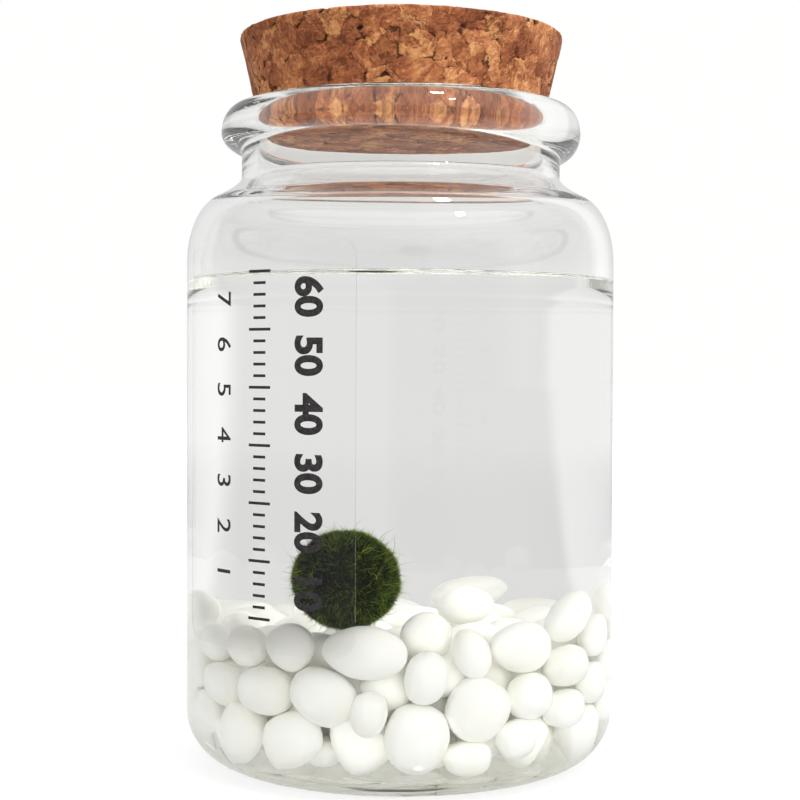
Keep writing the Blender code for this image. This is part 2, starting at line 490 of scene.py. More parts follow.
def bend(start: Point, corner: Point, end: Point, steps: int) -> list[Point]:
    """Points of a smooth bend.

    Args:
        start: Where it starts.
        corner: Where it heads at its start and comes from at its end.
        end: Where it ends.
        steps: How many stretches it has.

    Returns:
        The points.
    """
    points = []
    for i in range(steps + 1):
        t = i / steps
        weights = ((1 - t) ** 2, 2 * t * (1 - t), t**2)
        points.append(tuple(sum(w * p[k] for w, p in zip(weights, (start, corner, end))) for k in (0, 1)))
    return points


def stretch(start: Point, end: Point, steps: int) -> list[Point]:
    """Points along a straight line, without its last one."""
    return [tuple(start[k] + (end[k] - start[k]) * i / steps for k in (0, 1)) for i in range(steps)]


def set_in(points: Sequence[Point], depth: float) -> list[Point]:
    """Moves an outline that runs upward inward along its normals.

    Args:
        points: Its points as radius and height; both ends are upright.
        depth: How far it moves.

    Returns:
        The moved points.
    """
    first, last = points[0], points[-1]
    padded = [(first[0], first[1] - MM), *points, (last[0], last[1] + MM)]
    moved = []
    for before, point, after in zip(padded, points, padded[2:]):
        along = (after[0] - before[0], after[1] - before[1])
        length = math.hypot(*along)
        moved.append((point[0] - depth * along[1] / length, point[1] + depth * along[0] / length))
    return moved


def turn(name: str, outline: Sequence[Point], steps: int) -> bpy.types.Object:
    """Turns an outline about the jar's axis.

    Args:
        name: The new piece's name.
        outline: Points as radius and height, both ends on the axis.
        steps: How many stretches the full turn has.

    Returns:
        The turned piece, closed, with its faces outward.
    """
    bpy.ops.mesh.primitive_plane_add(size=MM)
    piece = fresh(name)
    with editing(piece):
        bpy.ops.mesh.merge(type="CENTER")
        bpy.ops.transform.translate(value=(outline[0][0], 0.0, outline[0][1]))
        for near, far in zip(outline, outline[1:]):
            step = (far[0] - near[0], 0.0, far[1] - near[1])
            bpy.ops.mesh.extrude_region_move(TRANSFORM_OT_translate={"value": step})
        bpy.ops.mesh.select_all(action="SELECT")
        bpy.ops.mesh.spin(steps=steps, angle=math.tau, center=(0.0, 0.0, 0.0), axis=UP)
        bpy.ops.mesh.select_all(action="SELECT")
        bpy.ops.mesh.remove_doubles(threshold=WELD)
        bpy.ops.mesh.normals_make_consistent(inside=False)
    return piece


def wrap(piece: bpy.types.Object, radius: float) -> None:
    """Bends a flat piece round the jar: x becomes the way round from the front, y stays up.

    Args:
        piece: A flat piece in the XY plane, with its height in z.
        radius: The radius at which z is 0.
    """
    for vert in piece.data.vertices:
        along, up, out = vert.co
        angle = along / radius
        reach = radius + out
        vert.co = (reach * math.sin(angle), -reach * math.cos(angle), up)


# ---------------------------------------------------------------- finishes


class Side(Enum):
    """The two sides that the jar's glass has; against water it hardly mirrors."""

    DRY = "clear_glass"
    WETTED = "wetted_glass"


@dataclass(frozen=True)
class GlassFinish:
    """Clear moulded glass with the faint waviness of a blown wall."""

    tint: Colour = (0.991, 0.994, 0.989)
    ior: float = 1.5
    wave: float = 9 * MM
    wave_depth: float = 0.012 * MM
    thick: Colour = (0.94, 0.94, 0.875)
    thick_up_to: float = 5 * MM
    lip: Colour = (0.966, 0.972, 0.945)
    lip_from: float = 91 * MM
    lip_fade: float = 1 * MM

    def make(self, side: Side) -> bpy.types.Material:
        """Builds the material of a dry or a wetted side.

        Args:
            side: Whether air or water lies against the glass.

        Returns:
            The material.
        """
        shader = Shader(side.value)
        relief = shader.bump(shader.noise(shader.place, self.wave, 1.0), self.wave_depth)
        gloss = WHITE if side is Side.DRY else BLACK
        height = shader.part(shader.place, 2)
        base = shader.mix(height.between(self.thick_up_to, 0.0), self.tint, self.thick)
        tint = shader.mix(height.between(self.lip_from, self.lip_from + self.lip_fade), base, self.lip)
        return shader.done(
            shader.principled(
                Base_Color=tint,
                Roughness=0.0,
                IOR=self.ior,
                Transmission_Weight=1.0,
                Specular_Tint=gloss,
                Normal=relief,
            )
        )


@dataclass(frozen=True)
class WaterFinish:
    """Still, clear water."""

    tint: Colour = (0.995, 0.998, 0.992)
    ior: float = 1.333
    wave: float = 14 * MM
    wave_depth: float = 0.01 * MM

    def make(self) -> bpy.types.Material:
        """Builds the material.

        Returns:
            The material.
        """
        shader = Shader("water")
        relief = shader.bump(shader.noise(shader.place, self.wave, 1.0), self.wave_depth)
        return shader.done(
            shader.principled(
                Base_Color=self.tint,
                Roughness=0.0,
                IOR=self.ior,
                Transmission_Weight=1.0,
                Specular_Tint=BLACK,
                Normal=relief,
            )
        )


@dataclass(frozen=True)
class FilmFinish:
    """Thin clear plastic film, a little hazy where it is glued down."""

    ior: float = 1.47
    clearness: float = 0.997

    def make(self) -> bpy.types.Material:
        """Builds the material.

        Returns:
            The material.
        """
        shader = Shader("clear_film")
        haze = shader.noise(shader.place, 1.2 * MM, 3.0).between(0.35, 0.8)
        return shader.done(
            shader.principled(
                Base_Color=(0.99, 0.99, 0.985),
                Roughness=haze * 0.012,
                IOR=self.ior,
                Transmission_Weight=self.clearness,
                Specular_Tint=(0.2, 0.2, 0.2),
            )
        )


@dataclass(frozen=True)
class InkFinish:
    """Matt dark ink, slightly uneven."""

    dark: Colour = (0.018, 0.016, 0.016)
    pale: Colour = (0.046, 0.041, 0.042)

    def make(self) -> bpy.types.Material:
        """Builds the material.

        Returns:
            The material.
        """
        shader = Shader("dark_ink")
        speckle = shader.noise(shader.place, 0.4 * MM, 3.0).between(0.35, 0.7)
        colour = shader.mix(speckle, self.dark, self.pale)
        rough = 0.5 + speckle * 0.2
        return shader.done(shader.principled(Base_Color=colour, Roughness=rough, Specular_IOR_Level=0.2))


@dataclass(frozen=True)
class PebbleFinish:
    """Smooth white porcelain pebbles, each a slightly different white."""

    bright: Colour = (0.97, 0.966, 0.935)
    shade: Colour = (0.945, 0.938, 0.885)
    patch: float = 7 * MM

    def make(self) -> bpy.types.Material:
        """Builds the material.

        Returns:
            The material.
        """
        shader = Shader("white_pebble")
        patches = shader.noise(shader.place, self.patch, 1.0).between(0.35, 0.65)
        fine = shader.noise(shader.place, 0.7 * MM, 3.0)
        colour = shader.mix(patches, self.bright, self.shade)
        relief = shader.bump(fine, 0.02 * MM, 0.6)
        return shader.done(
            shader.principled(
                Base_Color=colour,
                Roughness=0.35 + fine * 0.2,
                Specular_IOR_Level=0.35,
                Normal=relief,
            )
        )


@dataclass(frozen=True)
class MossFinish:
    """Fine green threads: dark at the heart of the ball, and yellow-green at their tips, painted lighter
    there as a painted sheen for the light that the fuzz scatters round the rim.
    """

    heart: Colour = (0.006, 0.008, 0.001)
    middle: Colour = (0.017, 0.027, 0.002)
    # Painted sheen: the tip colour is lighter than the threads' own green and stands for the light
    # scattered through the fuzz at the rim.
    sheen_tip: Colour = (0.27, 0.38, 0.035)
    patch: float = 1.6 * MM

    def make(self, centre: Vector, core: float, reach: float) -> bpy.types.Material:
        """Builds the material.

        Args:
            centre: The middle of the ball.
            core: The radius where the threads leave the ball.
            reach: The radius of their tips.

        Returns:
            The material.
        """
        shader = Shader("moss")
        away = shader.vector("SUBTRACT", shader.place, tuple(centre))
        out = (shader.length(away) - core) / (reach - core)
        mottle = shader.noise(shader.place, self.patch, 3.0)
        low = shader.mix((out + mottle * 0.6).between(0.1, 0.9), self.heart, self.middle)
        # Painted sheen: towards their ends the threads blend into the pale tip colour.
        colour = shader.mix((out + mottle * 0.35).between(0.55, 1.35), low, self.sheen_tip)
        return shader.done(
            shader.principled(
                Base_Color=colour,
                Roughness=0.85,
                Specular_IOR_Level=0.0,
            )
        )


@dataclass(frozen=True)
class CorkFinish:
    """Pressed cork: soft-edged granules of several browns with streaks, broken seams and dark holes."""

    granule: float = 3.4 * MM
    crumb: float = 1.3 * MM
    flake: float = 1.9 * MM
    wander: float = 1.9 * MM
    fray: float = 0.7 * MM

    def granules(self, graph: Graph, place: Value) -> dict[str, Value]:
        """Lays out the granules, the same for the shape and for the colour.

        Args:
            graph: The node tree to build in.
            place: The place on the cork.

        Returns:
            tone and kind (two random numbers for each granule), crumb, seam, pit and streak.
        """
        middle = (0.5, 0.5, 0.5)
        drift = graph.vector("SUBTRACT", graph.noise(place, 2.6 * MM, 3.0, "Color"), middle)
        ragged = graph.vector("SUBTRACT", graph.noise(place, 0.55 * MM, 2.0, "Color"), middle)
        bent = graph.vector("ADD", place, graph.scaled(drift, self.wander))
        bent = graph.vector("ADD", bent, graph.scaled(ragged, self.fray))
        tint = graph.cells(bent, self.granule, output="Color")
        tone, lean, kind = (graph.part(tint, number) for number in range(3))
        edge = graph.cells(bent, self.granule, "DISTANCE_TO_EDGE")
        bits = graph.cells(bent, self.crumb, output="Color")
        small, chance = (graph.part(bits, number) for number in range(2))
        spun = graph.node(
            "ShaderNodeVectorRotate",
            {"rotation_type": "AXIS_ANGLE"},
            {"Vector": bent, "Axis": (0.5, 0.3, 0.8), "Angle": lean * 9.0},
        )
        streak = graph.noise(graph.vector("MULTIPLY", spun, (1.0, 0.8, 0.22)), 0.42 * MM, 3.0)
        holes = graph.cells(graph.vector("ADD", place, graph.scaled(ragged, 1.2 * MM)), 4.6 * MM)
        here = graph.noise(place, 2.4 * MM, 1.0).between(0.52, 0.6)
        tear = edge.between(0.07, 0.01) * chance.between(0.8, 0.9)
        return {
            "tone": tone,
            "kind": kind,
            "crumb": small,
            "seam": edge.between(0.05, 0.0) * graph.noise(place, 1.5 * MM, 2.0).between(0.46, 0.62),
            "pit": graph.node(
                "ShaderNodeMath",
                {"operation": "MAXIMUM"},
                {0: holes.between(0.16, 0.1) * here, 1: tear * 0.7},
            ),
            "streak": streak,
        }

    def make(self) -> bpy.types.Material:
        """Builds the material.

        Returns:
            The material.
        """
        shader = Shader("pressed_cork")
        parts = self.granules(shader, shader.place)
        cloud = shader.noise(shader.place, 6 * MM, 2.0)
        mixed = parts["tone"] * 0.34 + parts["crumb"] * 0.2 + parts["streak"] * 0.9
        mixed = mixed + cloud * 0.5 - 0.47
        ramp = (
            (0.1, (0.085, 0.021, 0.005)),
            (0.3, (0.195, 0.052, 0.016)),
            (0.47, (0.305, 0.093, 0.032)),
            (0.67, (0.49, 0.185, 0.070)),
            (0.9, (0.72, 0.38, 0.16)),
        )
        body = shader.node("ShaderNodeValToRGB", {"stops": ramp}, {"Fac": mixed})
        fibre = (parts["streak"] + parts["crumb"] * 0.3).between(0.5, 0.8)
        gold = parts["kind"].between(0.72, 0.86) * fibre
        golden = shader.mix(gold * 0.6, body, (0.66, 0.33, 0.12))
        speck = shader.noise(shader.place, 0.35 * MM, 2.0).between(0.62, 0.72)
        flecked = shader.mix(speck * 0.5, golden, (0.13, 0.039, 0.016))
        seamed = shader.mix(parts["seam"] * 0.25, flecked, (0.075, 0.024, 0.011))
        colour = shader.mix(parts["pit"], seamed, (0.022, 0.012, 0.007))
        height = parts["streak"] * 0.6 + parts["crumb"] * 0.25 + 0.5
        height = height - parts["seam"] * 0.4 - parts["pit"] * 0.6
        return shader.done(
            shader.principled(
                Base_Color=colour,
                Roughness=0.7 + parts["streak"] * 0.25,
                Specular_IOR_Level=0.3,
                Normal=shader.bump(height, 0.35 * MM),
            )
        )

    def carve(self, piece: bpy.types.Object, depth: float) -> None:
        """Carves the seams and holes between the granules into a fine mesh.

        Args:
            piece: The cork.
            depth: How deep the seams go.
        """
        graph, shape = shape_nodes("carve_granules")
        place = graph.node("GeometryNodeInputPosition")
        parts = self.granules(graph, place)
        worn = graph.noise(place, 4 * MM, 2.0)
        height = parts["tone"] * 0.3 - parts["seam"] * 0.4 - parts["pit"] * 2.4 + worn * 0.9 - 0.7
        normal = graph.node("GeometryNodeInputNormal")
        shift = graph.scaled(normal, height * depth)
        moved = graph.node("GeometryNodeSetPosition", None, {"Geometry": shape, "Offset": shift})
        graph.add("NodeGroupOutput", None, {0: moved})
        work(piece, "NODES", node_group=graph.tree)


# ---------------------------------------------------------------- jar, cork and water


@dataclass
class Jar:
    """The turned glass: base, straight body, round shoulder, neck and rolled lip."""

    wall: float = 2.3 * MM
    base_corner: float = 8.0 * MM
    foot: float = 3.5 * MM
    punt: float = 0.8 * MM
    floor: float = 3.4 * MM
    shoulder_low: float = 75.4 * MM
    shoulder_high: float = 85.4 * MM
    shoulder_top: float = 27.0 * MM
    shoulder_end: float = 75.0
    neck: float = 24.3 * MM
    neck_low: float = 88.4 * MM
    neck_high: float = 92.0 * MM
    mouth: float = 22.0 * MM
    lip: float = 27.4 * MM
    lip_middle: float = 95.1 * MM
    lip_drop: float = 3.0 * MM
    lip_end: float = -74.0
    tuck: float = 0.5 * MM
    uneven_front: float = 1.1 * MM
    uneven_left: float = 0.7 * MM
    water_climb: float = 0.3 * MM
    turns: int = 160

    def __post_init__(self) -> None:
        """Reads the body's radius, the lip's top and the water's edge from the frame."""
        low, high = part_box("jar")
        self.radius = 0.5 * (high[0] - low[0])
        self.lip_half = high[2] - self.lip_middle
        self.water_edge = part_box("water")[1][2] + self.water_climb

    def side(self, inset: float) -> list[Point]:
        """The side from the top of the straight body to the neck.

        Args:
            inset: How far it lies inside the outer face.

        Returns:
            The points, from below.
        """
        reach = self.radius - self.shoulder_top
        rise = self.shoulder_high - self.shoulder_low
        shoulder = arc((self.shoulder_top, self.shoulder_low), (reach, rise), 0, self.shoulder_end, 24)
        top = shoulder[-1]
        slope = rise / (reach * math.tan(math.radians(self.shoulder_end)))
        corner = (self.neck, top[1] + (top[0] - self.neck) * slope)
        outer = shoulder[:-1] + bend(top, corner, (self.neck, self.neck_low), 14)
        return set_in(outer, inset) if inset else outer

    def outline(self) -> list[Point]:
        """The whole section of the glass.

        Returns:
            The points, from the middle of the inner floor over the lip to the middle of the underside.
        """
        inner = self.radius - self.wall
        corner = self.base_corner - self.wall
        half = 0.5 * (self.lip - self.mouth)
        foot = self.radius - self.base_corner
        floor = stretch((0.0, self.floor), (inner - corner, self.floor), 6)
        floor += arc((inner - corner, self.floor + corner), (corner, corner), -90, 0, 14)
        wall = stretch(floor[-1], (inner, self.water_edge), 8)[1:]
        wall += stretch((inner, self.water_edge), (inner, self.shoulder_low), 2)
        middle = (self.mouth + half, self.lip_middle)
        lip = arc(middle, (half, self.lip_half), 180, 0, 26)
        lip += arc(middle, (half, self.lip_drop), 0, self.lip_end, 16)[1:]
        tuck = bend(lip[-1], (self.neck, self.neck_high), (self.neck, self.neck_high - self.tuck), 5)[1:]
        outside = self.side(0.0)[::-1]
        base = arc((foot, self.base_corner), (self.base_corner, self.base_corner), 0, -90, 18)
        body = stretch(outside[-1], base[0], 8)[1:]
        inside_foot = (foot - self.foot, 0.0)
        rise = bend(inside_foot, (inside_foot[0] - self.foot, 0.0), (foot - 3 * self.foot, self.punt), 8)
        under = stretch(rise[-1], (0.0, self.punt), 4)[1:] + [(0.0, self.punt)]
        return floor + wall + self.side(self.wall) + lip + tuck + outside + body + base + rise + under

    def make_uneven(self, piece: bpy.types.Object) -> None:
        """Lets the lip's underside run a little higher at the front and on the left.

        Args:
            piece: The turned glass.
        """
        low, root, high = self.neck_low, self.neck_high, self.lip_middle
        for vert in piece.data.vertices:
            out = math.hypot(vert.co.x, vert.co.y)
            if out < self.neck - 0.1 * MM or not low < vert.co.z < high:
                continue
            share = min((vert.co.z - low) / (root - low), (high - vert.co.z) / (high - root))
            rise = -self.uneven_front * vert.co.y / out - self.uneven_left * vert.co.x / out
            vert.co.z += max(0.0, min(1.0, share)) * rise

    def build(self, finish: GlassFinish) -> None:
        """Turns the glass and lets it stand for the CAD jar.

        Args:
            finish: The glass.
        """
        piece = turn("glass_jar", self.outline(), self.turns)
        self.make_uneven(piece)
        dress(piece, finish.make(Side.DRY))
        piece.data.materials.append(finish.make(Side.WETTED))
        inside = self.radius - 0.5 * self.wall
        for face in piece.data.polygons:
            out = math.hypot(face.center.x, face.center.y)
            if out < inside and 0.5 * self.floor + self.punt < face.center.z < self.water_edge:
                face.material_index = 1
        fit(piece, "clear_glass", "jar")


@dataclass
class Water:
    """The water, from the floor of the jar up to its curved edge against the glass."""

    jar: Jar
    hug: float = 0.02 * MM
    climb_width: float = 2.0 * MM
    climb_power: float = 2.6
    climb_steps: int = 13
    hollow: float = 0.9 * MM

    def build(self, finish: WaterFinish) -> None:
        """Turns the water, a hair into the glass so that no air shows between them.

        Args:
            finish: The water's finish.
        """
        edge = self.jar.water_edge
        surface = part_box("water")[1][2] - self.hollow
        inner = self.jar.radius - self.jar.wall + self.hug
        corner = self.jar.base_corner - self.jar.wall
        low = self.jar.floor - self.hug
        outline = stretch((0.0, low), (inner - corner, low), 6)
        outline += arc((inner - corner, low + corner), (corner, corner), -90, 0, 14)
        outline += stretch(outline[-1], (inner, edge), 16)[1:]
        for i in range(self.climb_steps + 1):
            t = i / self.climb_steps
            height = surface + (edge - surface) * (1 - t) ** self.climb_power
            outline.append((inner - self.climb_width * t, height))
        outline += stretch(outline[-1], (0.0, surface), 8)[1:] + [(0.0, surface)]
        piece = turn("water_body", outline, self.jar.turns)
        dress(piece, finish.make())
        fit(piece, "water", "water")


@dataclass
class Cork:
    """The tapered stopper, pressed from coarse granules."""

    voxel: float = 0.34 * MM
    edge: float = 0.35 * MM
    seam_depth: float = 0.28 * MM
    taper: float = 0.865

    def build(self, finish: CorkFinish) -> None:
        """Shapes the stopper and carves its granules.

        Args:
            finish: The cork's finish.
        """
        low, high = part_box("cork")
        radius = 0.5 * (high[0] - low[0])
        height = high[2] - low[2]
        middle = (0.0, 0.0, 0.5 * (low[2] + high[2]))
        bpy.ops.mesh.primitive_cylinder_add(vertices=96, radius=radius, depth=height, location=middle)
        piece = fresh("cork_stopper")
        place_in_mesh(piece)
        with editing(piece, "FACE"):
            shape = bmesh.from_edit_mesh(piece.data)
            for face in shape.faces:
                face.select_set(face.normal.z < -0.9)
            bmesh.update_edit_mesh(piece.data)
            bpy.ops.transform.resize(value=(self.taper, self.taper, 1.0))
            for face in shape.faces:
                face.select_set(abs(face.normal.z) > 0.9)
            bmesh.update_edit_mesh(piece.data)
            bpy.ops.mesh.bevel(offset=self.edge, segments=3)
        work(piece, "REMESH", mode="VOXEL", voxel_size=self.voxel)
        work(piece, "SMOOTH", factor=0.5, iterations=3)
        finish.carve(piece, self.seam_depth)
        dress(piece, finish.make())
        fit(piece, "pressed_cork", "cork")


# ---------------------------------------------------------------- pebbles


@dataclass
class Heap:
    """Egg-shaped pebbles as middles and shape matrices, pushed apart until they only touch."""

    centres: np.ndarray
    shapes: np.ndarray
    loose: np.ndarray

    @staticmethod
    def reach(shapes: np.ndarray, directions: np.ndarray) -> np.ndarray:
        """How far each pebble reaches along each unit direction."""
        return np.sqrt(np.einsum("...i,...ij,...j->...", directions, shapes, directions))

    def part(self, gap: float) -> None:
        """Moves pebbles that are too near each other along the line between their middles.

        Args:
            gap: The room that stays between two pebbles.
        """
        offset = self.centres[None, :, :] - self.centres[:, None, :]
        distance = np.linalg.norm(offset, axis=2) + np.eye(len(self.centres))
        way = offset / distance[..., None]
        needed = self.reach(self.shapes[:, None], way) + self.reach(self.shapes[None, :], way) + gap
        overlap = np.clip(needed - distance, 0.0, None) * (1 - np.eye(len(self.centres)))
        share = self.loose[:, None] / np.clip(self.loose[:, None] + self.loose[None, :], 1e-9, None)
        self.centres -= ((overlap * share)[..., None] * way).sum(axis=1)

    def hold(self, inner: float, corner: float, floor: float) -> None:
        """Keeps the loose pebbles off the glass, also in the rounded corner of the base.

        Args:
            inner: The radius of the space.
            corner: The radius of its rounded corner.
            floor: The height of its floor.
        """
        free = self.loose > 0
        tall = self.reach(self.shapes, np.array(UP))
        lowest = np.maximum(self.centres[:, 2], floor + tall)
        self.centres[free, 2] = lowest[free]
        flat = self.centres * (1.0, 1.0, 0.0)
        out = np.linalg.norm(flat, axis=1) + 1e-9
        outward = flat / out[:, None]
        over = np.clip(out + self.reach(self.shapes, outward) - inner, 0.0, None) * free
        self.centres -= outward * over[:, None]
        sideways = np.clip(out - over - (inner - corner), 0.0, None)
        down = np.clip(floor + corner - self.centres[:, 2], 0.0, None)
        into = outward * sideways[:, None] - np.outer(down, UP)
        far = np.linalg.norm(into, axis=1) + 1e-9
        way = into / far[:, None]
        excess = np.clip(far - (corner - self.reach(self.shapes, way)), 0.0, None)
        excess *= free * (sideways > 0) * (down > 0)
        self.centres -= way * excess[:, None]


@dataclass
class PebbleBed:
    """The white pebbles: the top layer from the frame, and the layers that lie under it."""

    jar: Jar
    gap: float = 0.05 * MM
    off_glass: float = 0.3 * MM
    lump: float = 5 * MM
    seed: int = 5
    rounds: int = 260
    sink: float = 0.04 * MM
    rings: tuple = ((26.0, 19), (18.4, 14), (10.8, 9), (3.4, 3))
    levels: tuple = (6.4, 11.4, 16.2)
    smallest: tuple = (3.5, 3.0, 2.8)
    largest: tuple = (4.7, 4.0, 3.7)
    show_from: float = -78.0
    show_to: float = 88.0

    # Pebbles against the front glass. A scratch program worked out where each one shows through the
    # glass, and some values were then changed: angle from -Y towards +X in degrees, radius and height
    # of the middle in mm, length, height and depth in mm, tilt in degrees.
    front: tuple = (
        (4, 27.1, 17.8, 7.4, 5.6, 5.8, 80),
        (33, 26.9, 17.6, 7.0, 6.5, 6.2, 0),
        (51, 26.9, 17.6, 8.2, 6.0, 6.2, 0),
        (76, 26.6, 17.0, 7.6, 5.6, 6.2, 5),
        (-57, 26.9, 13.2, 8.0, 6.1, 6.2, 0),
        (-38.5, 26.6, 14.1, 9.0, 6.8, 6.8, 0),
        (-19.3, 26.3, 15.4, 9.2, 7.6, 7.2, -30),
        (-6.1, 27.6, 13.5, 6.3, 4.7, 5.0, 82),
        (16.6, 26.2, 14.0, 9.0, 8.5, 7.6, 60),
        (29.4, 26.6, 12.0, 5.8, 5.2, 5.2, 10),
        (38.5, 24.2, 10.8, 7.4, 6.6, 6.4, 80),
        (47.5, 27.0, 14.0, 7.8, 5.4, 6.0, 0),
        (65, 26.9, 12.2, 8.0, 6.0, 6.2, 0),
        (-65, 26.2, 7.6, 7.8, 6.2, 6.4, 30),
        (-46.4, 26.4, 7.7, 7.8, 7.0, 6.8, 60),
        (-29.8, 26.5, 9.9, 8.6, 7.2, 7.0, 20),
        (-13.6, 25.9, 7.9, 8.8, 8.1, 7.4, -60),
        (4.8, 25.8, 8.7, 9.2, 8.5, 7.8, 80),
        (17.2, 23.9, 9.6, 6.2, 5.2, 5.4, 88),
        (30.2, 26.2, 7.5, 7.8, 7.3, 6.8, 50),
        (47, 25.8, 7.4, 8.0, 6.8, 6.6, 0),
        (63, 25.8, 7.4, 7.6, 6.2, 6.2, 0),
        (-26.5, 24.6, 5.4, 6.4, 3.9, 5.0, 0),
        (18.6, 25.0, 5.4, 6.6, 4.0, 5.0, 0),
    )
    front_loose: float = 0.03
    lean_out: float = 0.012 * MM

    def top_nodes(self) -> list[str]:
        """The names of the frame's own pebbles."""
        return sorted(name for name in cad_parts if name.startswith("pebble_"))

    @staticmethod
    def measure(node: str) -> tuple[np.ndarray, np.ndarray]:
        """Reads a pebble of the frame.

        Args:
            node: Its name.

        Returns:
            Its middle and its shape matrix.
        """
        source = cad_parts[node]
        points = {tuple(round(c, 7) for c in source.matrix_world @ v.co) for v in source.data.vertices}
        corners = np.array(sorted(points))
        centre = corners.mean(axis=0)
        return centre, 3.0 * np.cov((corners - centre).T, bias=True)

    @staticmethod
    def axes(angle: float, tilt: float, lean: float = 0.0) -> np.ndarray:
        """The directions of a pebble's length, depth and height.

        Args:
            angle: The way round of its length, in radians.
            tilt: How far its length points up.
            lean: How far its depth points up.

        Returns:
            The matrix that turns the pebble.
        """
        spin = Matrix.Rotation(angle, 3, "Z") @ Matrix.Rotation(-tilt, 3, "Y")
        return np.array(spin @ Matrix.Rotation(lean, 3, "X"))

    def lower(self) -> list[tuple[np.ndarray, np.ndarray, float]]:
        """Chooses the pebbles under the top layer.

        Returns:
            For each one its middle, the matrix that shapes it and how easily it is pushed.
        """
        chosen = []
        for angle, radius, height, length, tall, deep, tilt in self.front:
            way = math.radians(angle)
            centre = np.array((radius * math.sin(way), -radius * math.cos(way), height)) * MM
            size = np.diag(np.array((length, deep, tall)) * 0.5 * MM)
            chosen.append((centre, self.axes(way, math.radians(tilt)) @ size, self.front_loose))
        random = np.random.default_rng(self.seed)
        for level, height in enumerate(self.levels):
            for ring, (radius, count) in enumerate(self.rings):
                for i in range(count):
                    way = math.tau * (i + 0.37 * level) / count + 0.5 * ring
                    turn_, tilt, lean = random.uniform((-0.8, -0.6, -0.5), (0.8, 0.6, 0.5))
                    size = np.diag(random.uniform(self.smallest, self.largest) * MM)
                    shift = random.uniform(-0.8, 0.8, 3)
                    degrees = (math.degrees(way) + 180.0) % 360.0 - 180.0
                    if ring == 0 and self.show_from < degrees < self.show_to:
                        continue
                    centre = np.array((radius * math.sin(way), -radius * math.cos(way), height)) + shift
                    chosen.append((centre * MM, self.axes(way + turn_, tilt, lean) @ size, 1.0))
        return chosen

    def settle(self, chosen: list[tuple[np.ndarray, np.ndarray, float]]) -> Heap:
        """Lets the lower pebbles find room between the glass and the top layer.

        Args:
            chosen: For each one its middle, the matrix that shapes it and how easily it is pushed.

        Returns:
            The settled heap, the lower pebbles first.
        """
        top = [self.measure(node) for node in self.top_nodes()]
        heap = Heap(
            np.array([centre for centre, _, _ in chosen] + [centre for centre, _ in top]),
            np.array([form @ form.T for _, form, _ in chosen] + [shape for _, shape in top]),
            np.array([loose for _, _, loose in chosen] + [0.0] * len(top)),
        )
        inner = self.jar.radius - self.jar.wall - self.off_glass
        corner = self.jar.base_corner - self.jar.wall - self.off_glass
        for i in range(self.rounds):
            pull = self.sink * max(0.0, 1.0 - 1.4 * i / self.rounds)
            heap.centres[:, 2] -= pull * (heap.loose == 1.0)
            flat = heap.centres * (1.0, 1.0, 0.0)
            outward = flat / np.linalg.norm(flat, axis=1)[:, None]
            heap.centres += self.lean_out * outward * (heap.loose == self.front_loose)[:, None]
            heap.part(self.gap)
            heap.hold(inner, corner, self.jar.floor + self.off_glass)
        return heap

    def egg(self) -> bpy.types.Object:
        """Models one pebble of half length 1, a little thicker towards one end.

        Returns:
            The pebble.
        """
        bpy.ops.mesh.primitive_ico_sphere_add(subdivisions=4, radius=1.0)
        piece = fresh("egg")
        with editing(piece):
            shape = bmesh.from_edit_mesh(piece.data)
            for vert in shape.verts:
                vert.select_set(vert.co.x > 0.98)
            shape.select_flush(True)
            bmesh.update_edit_mesh(piece.data)
            bpy.ops.transform.resize(
                value=(1.0, 1.12, 1.12),
                use_proportional_edit=True,
                proportional_edit_falloff="SMOOTH",
                proportional_size=1.6,
            )
        work(piece, "CAST", cast_type="CUBOID", factor=0.1, use_radius_as_size=True)
        return piece

    def build_lower(self, material: bpy.types.Material) -> None:
        """Makes the lower pebbles, one mesh for each third of them.

        Args:
            material: Their material.
        """
        chosen = self.lower()
        heap = self.settle(chosen)
        pattern = self.egg()
        copies = []
        for (_, form, _), centre in zip(chosen, heap.centres):
            copy = pattern.copy()
            copy.data = pattern.data.copy()
            bpy.context.collection.objects.link(copy)
            move = Matrix(form.tolist()).to_4x4()
            move.translation = Vector(centre.tolist())
            copy.data.transform(move)
            copies.append(copy)
        bpy.data.objects.remove(pattern)
        copies.sort(key=lambda copy: copy.data.vertices[0].co.z)
        third = math.ceil(len(copies) / 3)
        for i, level in enumerate(("bottom", "middle", "upper")):
            piece = join(f"pebbles_{level}", copies[i * third : (i + 1) * third])
            roughen(piece, self.lump, 0.45 * MM)
            dress(piece, material)
            fit(piece, "white_pebble", *(("gravel_bed",) if i == 0 else ()))

    def build_top(self, material: bpy.types.Material) -> None:
        """Rounds each of the frame's pebbles into a smooth one of the same size.

        Args:
            material: Their material.
        """
        for node in self.top_nodes():
            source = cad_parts[node]
            mesh = source.data.copy()
            mesh.transform(source.matrix_world)
            piece = bpy.data.objects.new("smooth_" + node, mesh)
            bpy.context.collection.objects.link(piece)
            with editing(piece):
                bpy.ops.mesh.remove_doubles(threshold=WELD)
            work(piece, "SUBSURF", levels=2, render_levels=2)
            self.fill_box(piece, *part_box(node))
            roughen(piece, self.lump, 0.3 * MM)
            dress(piece, material)
            fit(piece, "white_pebble", node)

    @staticmethod
    def fill_box(piece: bpy.types.Object, low: Sequence[float], high: Sequence[float]) -> None:
        """Stretches a piece until it fills a box again.

        Args:
            piece: The piece.
            low: The box's lowest corner.
            high: The box's highest corner.
        """
        points = np.array([v.co for v in piece.data.vertices])
        least, most = points.min(axis=0), points.max(axis=0)
        grown = np.array(low) + (points - least) * (np.array(high) - np.array(low)) / (most - least)
        piece.data.vertices.foreach_set("co", grown.ravel())
        piece.data.update()


# ---------------------------------------------------------------- moss ball


